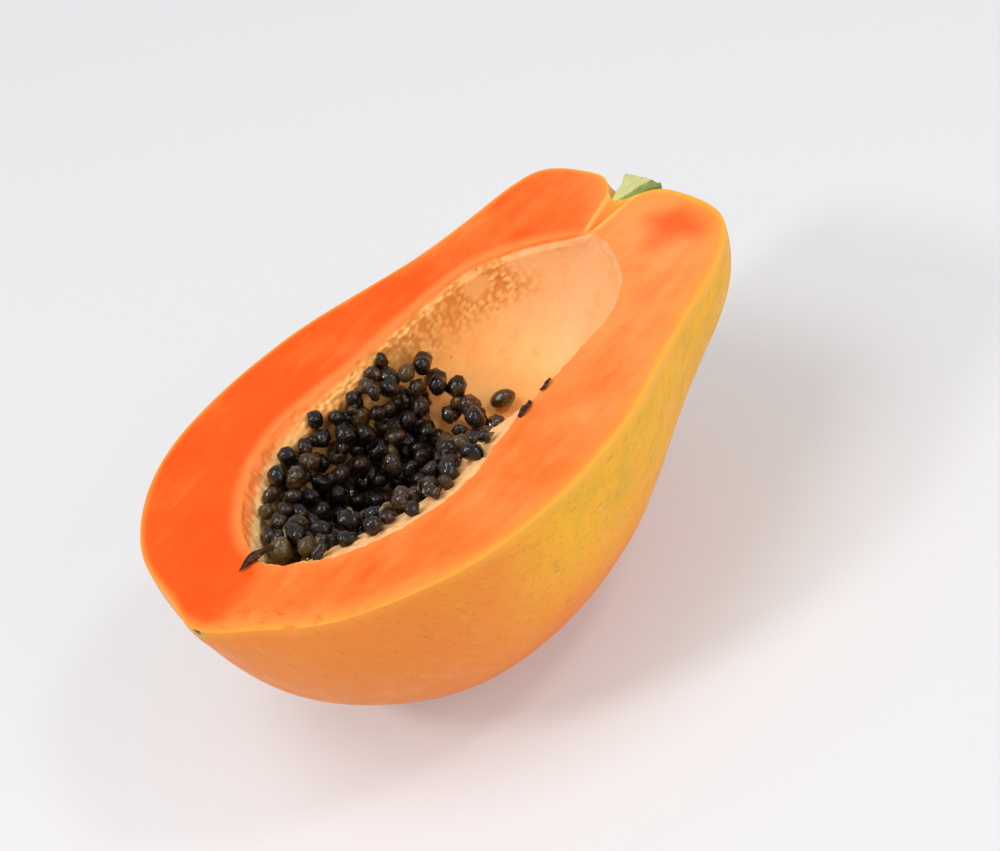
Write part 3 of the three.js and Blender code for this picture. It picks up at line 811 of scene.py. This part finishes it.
# Painted shade: nearly black lower down between the seeds, amber higher up.
amber = pulp.slope(pulp.plus(pulp.z, pulp.times(pulp.cloud(6, 3.0), 26)), -6, 4)
pulp_and_painted_shade = pulp.over(paint("120B07"), "C27C20", amber, 0.85)
pulp.set(Base_Color=pulp_and_painted_shade, Roughness=0.26, Normal=pulp.bump(pulp.cloud(1.4), 0.6),
         Specular_IOR_Level=0.6, Coat_Weight=0.5, Coat_Roughness=0.08)
make_piece("seed_bed", bed_mesh, [pulp], "seed")


# ---- Torn gel skins among the seeds ----------------------------------------
# Where the spoon caught them, a few gel coats have split. Their thin, pale edges curl over the seeds,
# most of them along the near side of the heap.

SKIN_DRAW, SKIN_COUNT = 91, 14
SKIN_STEPS, SKIN_THICK = 22, 0.22


def tube_faces(first, steps, sides):
    """Faces of a closed tube whose points stand in rings, one after another."""
    faces = []
    for start in range(first, first + steps * sides, sides):
        for c in range(sides):
            a, b = start + c, start + (c + 1) % sides
            faces.append([a, b, b + sides, a + sides])
    faces.append([first + c for c in reversed(range(sides))])
    faces.append([first + steps * sides + c for c in range(sides)])
    return faces


skin_draw = seed_draw(SKIN_DRAW)
torn_points, torn_faces = [], []
by_height = sorted(range(len(seed_places)), key=lambda k: -seed_places[k][2] + 0.25 * seed_places[k][1])
for k in by_height[:SKIN_COUNT * 2:2]:
    centre = seed_places[k]
    lean, heading = 0.5 + 0.9 * next(skin_draw), 2 * math.pi * next(skin_draw)
    radius = seed_sizes[k] * SEED_BREADTH / 2 + 0.25
    start, sweep = 2 * math.pi * next(skin_draw), 0.9 + 1.3 * next(skin_draw)
    breadth_here = 1.1 + 1.2 * next(skin_draw)
    across = Vector((math.cos(heading) * math.sin(lean), math.sin(heading) * math.sin(lean), math.cos(lean)))
    side = across.orthogonal().normalized()
    other = across.cross(side)
    first_point = len(torn_points)
    for step in range(SKIN_STEPS + 1):
        share = step / SKIN_STEPS
        angle = start + sweep * share
        outward = side * math.cos(angle) + other * math.sin(angle)
        wave = 0.35 * noise.noise(Vector((share * 4 + k, 0.5, 0.5)))
        half = breadth_here / 2 * math.sin(math.pi * min(max(share, 0.04), 0.96)) ** 0.5
        reach = radius * (1 + 0.12 * math.sin(3 * angle)) + wave
        middle = Vector(centre) + outward * reach + across * (0.8 + wave)
        lift = (outward * 0.7 + across * 0.7) * half
        out = (outward * 0.7 - across * 0.7) * SKIN_THICK / 2
        torn_points += [middle - lift - out, middle + lift - out * 0.4,
                        middle + lift + out * 0.4, middle - lift + out]
    torn_faces += tube_faces(first_point, SKIN_STEPS, 4)
torn_mesh = make_mesh("torn_gel_skins", np.array([list(p) for p in torn_points]), torn_faces)
gel_skin = Finish("torn gel skin")
gel_skin_colour = gel_skin.ramp(gel_skin.cloud(2.2, 3.0), (0.3, "2C2012"), (0.5, "5A4C30"), (0.68, "9A8C68"))
gel_skin.set(Base_Color=gel_skin_colour, Roughness=0.28, Normal=gel_skin.bump(gel_skin.cloud(0.6, 2.0), 0.1),
             Specular_IOR_Level=0.3, Coat_Weight=0.3, Coat_Roughness=0.12)
make_piece("torn_gel_skins", torn_mesh, [gel_skin], "seed")


# ---- The loose seeds -------------------------------------------------------
# Two seeds that rolled out of the heap and stopped on the bare wall, wet and olive brown where the light
# comes through their coats. The nearer one has lost part of its coat.

LOOSE_SEEDS = {
    "stray_seed_1": {"at": (26, 8.6), "size": (7.4, 5.2, 5.2), "heading": -32, "torn": 0.0},
    "stray_seed_2": {"at": (18.4, 5.9), "size": (6.8, 5.6, 5.4), "heading": 0, "torn": 0.8},
}
PIP_STEPS = 14

clear_gel = Finish("clear seed gel")
streaked = clear_gel.cloud(1.1, 4.0, 0.6)
clear_colour = clear_gel.ramp(streaked, (0.3, "241607"), (0.5, "40290E"), (0.72, "6A5218"))
lit_through = clear_gel.slope(clear_gel.noted("low"), 0.45, 1.0)
clear_colour = clear_gel.over(clear_colour, "8C8030", lit_through, 0.75)
clear_creases = clear_gel.fold(clear_gel.cloud(1.8), 0.5)
clear_gel.set(Base_Color=clear_colour, Roughness=0.2, Normal=clear_gel.bump(clear_creases, 0.7),
              Specular_IOR_Level=0.3, Coat_Weight=0.9, Coat_Roughness=0.04)


def round_pip(steps):
    """A ball of even squares, as points on a unit sphere and the faces between them."""
    box = bpy.data.meshes.new("pip")
    squares = bmesh.new()
    bmesh.ops.create_cube(squares, size=2)
    bmesh.ops.subdivide_edges(squares, edges=squares.edges[:], cuts=steps, use_grid_fill=True)
    squares.to_mesh(box)
    squares.free()
    ball = np.array([v.co.normalized() for v in box.vertices])
    return ball, [list(face.vertices) for face in box.polygons]


def solid_box(name):
    return [np.array(corner) * 1000 - CUT_FACE_IN_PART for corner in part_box(name)]


ball_points, ball_faces = round_pip(PIP_STEPS)
for name, seed in LOOSE_SEEDS.items():
    lowest, highest = solid_box(name)
    angle = math.radians(seed["heading"])
    pointed = 1 - 0.1 * smooth(ball_points[:, 0], 0.4, 1)
    body = ball_points * np.array(seed["size"]) / 2 * np.stack([1 + 0 * pointed, pointed, pointed], -1)
    body *= 1 + 0.05 * grain(ball_points * 3 + seed["heading"], 1)[:, None]
    body *= 1 + 0.025 * grain(ball_points * 3 - seed["heading"], 0.3)[:, None]
    missing = smooth(ball_points[:, 0] + 0.4 * ball_points[:, 1] - 0.2 * grain(ball_points, 0.4), 0.5, 0.62)
    body *= 1 - 0.16 * seed["torn"] * missing[:, None]
    to_heading = [[math.cos(angle), math.sin(angle), 0], [-math.sin(angle), math.cos(angle), 0], [0, 0, 1]]
    turned = body @ np.array(to_heading)
    turned += [*seed["at"], (lowest[2] + highest[2]) / 2]
    pip_mesh = make_mesh(name + "_coat", turned, ball_faces)
    note(pip_mesh, "low", 0.5 - 0.5 * ball_points[:, 2])
    make_piece(name + "_coat", pip_mesh, [clear_gel], "seed", name)


# ---- The stem --------------------------------------------------------------
# The green stub of the fruit's stalk, halved by the same cut: pale and fibrous where it was cut,
# darker and ribbed outside. It sits in the notch between the lobes.

STEM_LENGTH, STEM_LEAN, STEM_BOW, STEM_RIBS, STEM_RIB_SHARE = 11, -2.2, -0.8, 5, 0.06
STEM_RADII = [0.9, 2.0, 3.0, 3.7, 4.3, 5.0, 5.9, 6.1]
STEM_START = 81.2
STEM_ROWS, STEM_COLUMNS, STEM_RINGS = 44, 40, 14

stem_along = np.linspace(0, 1, STEM_ROWS + 1)[:, None]
stem_turn = np.linspace(0, math.pi, STEM_COLUMNS + 1)[None, :]


def stem_point(along, turn, radius_share):
    rib = 1 + STEM_RIB_SHARE * np.cos(STEM_RIBS * turn) * along
    radius = curve_through(STEM_RADII, along) * rib * radius_share
    x = STEM_START + STEM_LENGTH * along + 0 * turn
    y = STEM_LEAN * along + STEM_BOW * np.sin(math.pi * along) + radius * np.cos(turn)
    return np.stack([x, y, -radius * np.sin(turn)], axis=-1)


stem_side = stem_point(stem_along, stem_turn, 1)
ring_shares = np.linspace(0, 1, STEM_RINGS + 1)
near_half = [stem_point(stem_along, np.array([[math.pi]]), s) for s in ring_shares[::-1][1:-1]]
far_half = [stem_point(stem_along, np.array([[0.0]]), s) for s in ring_shares[:-1]]
stem_cut = np.concatenate(near_half + far_half, axis=1)
stem_grid = np.concatenate([stem_side, stem_cut], axis=1)
stem_points = stem_grid.reshape(-1, 3)
bark = smooth(-(stem_points[:, 1] + 4.2 - 0.35 * (91 - stem_points[:, 0])), 0, 3.2)
stem_points[:, 2] -= 0.9 * bark * (stem_points[:, 2] > -0.01)
stem_points[:, 2] += 0.12 * grain(stem_points, (2.5, 0.8, 0.8))
stem_points[:, 0] += 0.35 * grain(stem_points + 9, 1.6) * smooth(stem_points[:, 0], 90, 92)
stem_mesh = make_mesh("stem_stub", stem_points, tube_faces(0, STEM_ROWS, stem_grid.shape[1]))

stalk = Finish("green stalk")
fibre = stalk.cloud(1.0, 4.0, 0.6, (5, 0.7, 0.7))
stalk_cut = stalk.ramp(fibre, (0.3, "BDBA6C"), (0.52, "D0CC88"), (0.75, "DEDAA2"))
stalk_cut = stalk.over(stalk_cut, "D8CF7A", stalk.slope(stalk.x, 86, 81.5))
stalk_side = stalk.ramp(fibre, (0.3, "6A7A34"), (0.55, "869646"), (0.8, "A2AC5C"))
barked = stalk.scaled(stalk.x, 0.35, stalk.y)
barked = stalk.slope(stalk.plus(barked, stalk.scaled(fibre, 1.2, -0.6)), 26.8, 28.0)
stalk_cut = stalk.over(stalk_side, stalk_cut, barked)
stalk_colour = stalk.over(stalk_side, stalk_cut, stalk.slope(stalk.z, -1.4, -0.6))
stalk.set(Base_Color=stalk_colour, Roughness=0.6, Normal=stalk.bump(fibre, 0.25), Specular_IOR_Level=0.35)
make_piece("stem_stub", stem_mesh, [stalk], "stalk", "stem")


# ---- The dried shreds ------------------------------------------------------
# Scraps of the brown skin that tied the seeds to the fruit. A bundle of strands trails from the heap over the
# tail of the cavity, and two torn flakes lie by the near lip.

TAIL_AT, TAIL_HEADING, TAIL_REACH, TAIL_BOW = (-71, 1.8), -17, 12, 0.8
TAIL_STRANDS, TAIL_STEPS, TAIL_SIDES = 10, 34, 6
TAIL_DRAW = 5

dried = Finish("dried pulp")
husk = dried.cloud(1.0, 4.0, 0.65)
dried_colour = dried.ramp(husk, (0.3, "140A04"), (0.48, "2C170A"), (0.6, "5A3416"), (0.76, "8A5C2A"))
dried.set(Base_Color=dried_colour, Roughness=0.55, Normal=dried.bump(husk, 0.4), Specular_IOR_Level=0.2,
          Coat_Weight=0.15, Coat_Roughness=0.2)

tail_draw = seed_draw(TAIL_DRAW)
tail_floor = solid_box("seed_tail")[0][2]
heading = math.radians(TAIL_HEADING)
tail_points, tail_faces = [], []
for strand in range(TAIL_STRANDS):
    aside, start = 2.0 * (next(tail_draw) - 0.5), -0.5 + 0.35 * next(tail_draw)
    end, thick = 0.52 - 0.2 * next(tail_draw), 0.42 + 0.42 * next(tail_draw)
    high, twist = 0.9 * next(tail_draw), 6 * next(tail_draw)
    first_point = len(tail_points)
    for step in range(TAIL_STEPS + 1):
        share = step / TAIL_STEPS
        along = (start + (end - start) * share) * TAIL_REACH
        open_out = 0.35 + 0.65 * smooth(along, -6, 4)
        bow = TAIL_BOW * math.cos(along / TAIL_REACH * math.pi) + aside * open_out
        bow += 0.3 * math.sin(along * 0.9 + twist)
        radius = thick * (0.25 + 0.75 * math.sin(math.pi * min(max(share, 0.03), 0.97)) ** 0.6)
        rise = radius + 0.1 + high * math.sin(math.pi * share) * open_out
        middle = np.array([along * math.cos(heading) - bow * math.sin(heading) + TAIL_AT[0],
                           along * math.sin(heading) + bow * math.cos(heading) + TAIL_AT[1],
                           tail_floor + rise])
        for c in range(TAIL_SIDES):
            angle = 2 * math.pi * c / TAIL_SIDES
            outward = np.array([-math.sin(heading) * math.cos(angle), math.cos(heading) * math.cos(angle),
                                math.sin(angle)])
            tail_points.append(middle + radius * (1 + 0.25 * math.sin(2 * angle + along)) * outward)
    tail_faces += tube_faces(first_point, TAIL_STEPS, TAIL_SIDES)
tail_mesh = make_mesh("pulp_tail", np.array(tail_points), tail_faces)
make_piece("pulp_tail", tail_mesh, [dried], "dried_pulp", "seed_tail")

FLAKE_RINGS, FLAKE_SPOKES = 7, 48
FLAKES = {"lip_shred_1": {"size": (8, 2.4), "heading": 8}, "lip_shred_2": {"size": (6, 1.5), "heading": 4}}

for name, torn in FLAKES.items():
    lowest, highest = solid_box(name)
    heading = math.radians(torn["heading"])
    length, width = torn["size"]
    thickness = highest[2] - lowest[2]
    middle = (lowest + highest) / 2
    flake = [np.array([0.0, 0.0, 0.0])]
    for ring in range(1, FLAKE_RINGS + 1):
        for spoke in range(FLAKE_SPOKES):
            angle = 2 * math.pi * spoke / FLAKE_SPOKES
            ragged = 0.78 + 0.3 * noise.noise(Vector((3 * math.cos(angle), 3 * math.sin(angle), length)))
            share = ring / FLAKE_RINGS
            at_edge = np.array([math.cos(angle) * length, math.sin(angle) * width, 0]) / 2
            flake.append(at_edge * ragged * share)
    flake = np.array(flake)
    curl = 0.28 * thickness * np.sin(flake[:, 0] * 1.3 + length) + 0.15 * thickness * grain(flake, 1.1)
    outness = np.hypot(flake[:, 0] / length, flake[:, 1] / width) * 2
    half = thickness * 0.3 * (1 - 0.75 * outness ** 2).clip(0.15, 1)
    turned = np.stack([flake[:, 0] * math.cos(heading) - flake[:, 1] * math.sin(heading),
                       flake[:, 0] * math.sin(heading) + flake[:, 1] * math.cos(heading)], -1)
    top = np.column_stack([turned, curl + half]) + middle
    under = np.column_stack([turned, curl - half]) + middle
    fan = [[0, 1 + c, 1 + (c + 1) % FLAKE_SPOKES] for c in range(FLAKE_SPOKES)]
    for ring in range(FLAKE_RINGS - 1):
        for c in range(FLAKE_SPOKES):
            a, b = 1 + ring * FLAKE_SPOKES + c, 1 + ring * FLAKE_SPOKES + (c + 1) % FLAKE_SPOKES
            fan.append([a, a + FLAKE_SPOKES, b + FLAKE_SPOKES, b])
    size = len(flake)
    last = 1 + (FLAKE_RINGS - 1) * FLAKE_SPOKES
    edge = [[last + c, size + last + c, size + last + (c + 1) % FLAKE_SPOKES, last + (c + 1) % FLAKE_SPOKES]
            for c in range(FLAKE_SPOKES)]
    flake_mesh = make_mesh(name + "_flake", np.concatenate([top, under]),
                           fan + [[size + v for v in face[::-1]] for face in fan] + edge)
    make_piece(name + "_flake", flake_mesh, [dried], "dried_pulp", name)


# ---- The floor, the light and the camera -----------------------------------
# A plain pale floor that glows a little, so that shadows stay light. A broad window light hangs overhead,
# with a lamp on either side of it and a low reflector in front.

floor_mesh = bpy.data.meshes.new("floor")
floor_mesh.from_pydata([(-4, -4, 0), (4, -4, 0), (4, 4, 0), (-4, 4, 0)], [], [[0, 1, 2, 3]])
ground = Finish("pale floor")
ground.set(Base_Color=paint("C8C8CA"), Roughness=0.95, Specular_IOR_Level=0.1, Emission_Color=(1, 1, 1, 1),
           Emission_Strength=0.22)
floor_mesh.materials.append(ground.material)
floor = show("floor", floor_mesh)

AIM = Vector((0.0071, -0.0137, 0.0578))
TOWARD_CAMERA = Vector((-0.46719, -0.65421, 0.59477))
CAMERA_DISTANCE, CAMERA_ROLL = 1.06509, math.radians(-23.434)

lens = bpy.data.cameras.new("camera")
lens.lens = 143.83
lens.sensor_width = 36
camera = show("camera", lens)
upright = TOWARD_CAMERA.to_track_quat("Z", "Y")
camera.rotation_mode = "QUATERNION"
camera.rotation_quaternion = upright @ Quaternion((0, 0, 1), CAMERA_ROLL)
camera.location = AIM + TOWARD_CAMERA * CAMERA_DISTANCE
bpy.context.scene.camera = camera


def soft_light(name, place, size, power):
    lamp = bpy.data.lights.new(name, "AREA")
    lamp.shape = "DISK"
    lamp.size = size
    lamp.energy = power
    holder = show(name, lamp)
    holder.location = place
    holder.rotation_mode = "QUATERNION"
    holder.rotation_quaternion = (Vector(place) - AIM).to_track_quat("Z", "Y")


soft_light("window", (-0.42, 0.16, 1.5), 0.8, 7.2)
soft_light("left lamp", (-0.85, 0.3, 0.95), 0.26, 4.6)
soft_light("right lamp", (0.35, -0.75, 1.15), 0.24, 2.6)
soft_light("reflector", (0.1, -1.25, 0.55), 1.0, 4.2)

world = bpy.data.worlds.new("room")
world.use_nodes = True
glow = world.node_tree.nodes["Background"].inputs
glow["Color"].default_value = (0.98, 0.98, 1.0, 1)
glow["Strength"].default_value = 0.52
bpy.context.scene.world = world
bpy.context.scene.view_settings.view_transform = "Standard"
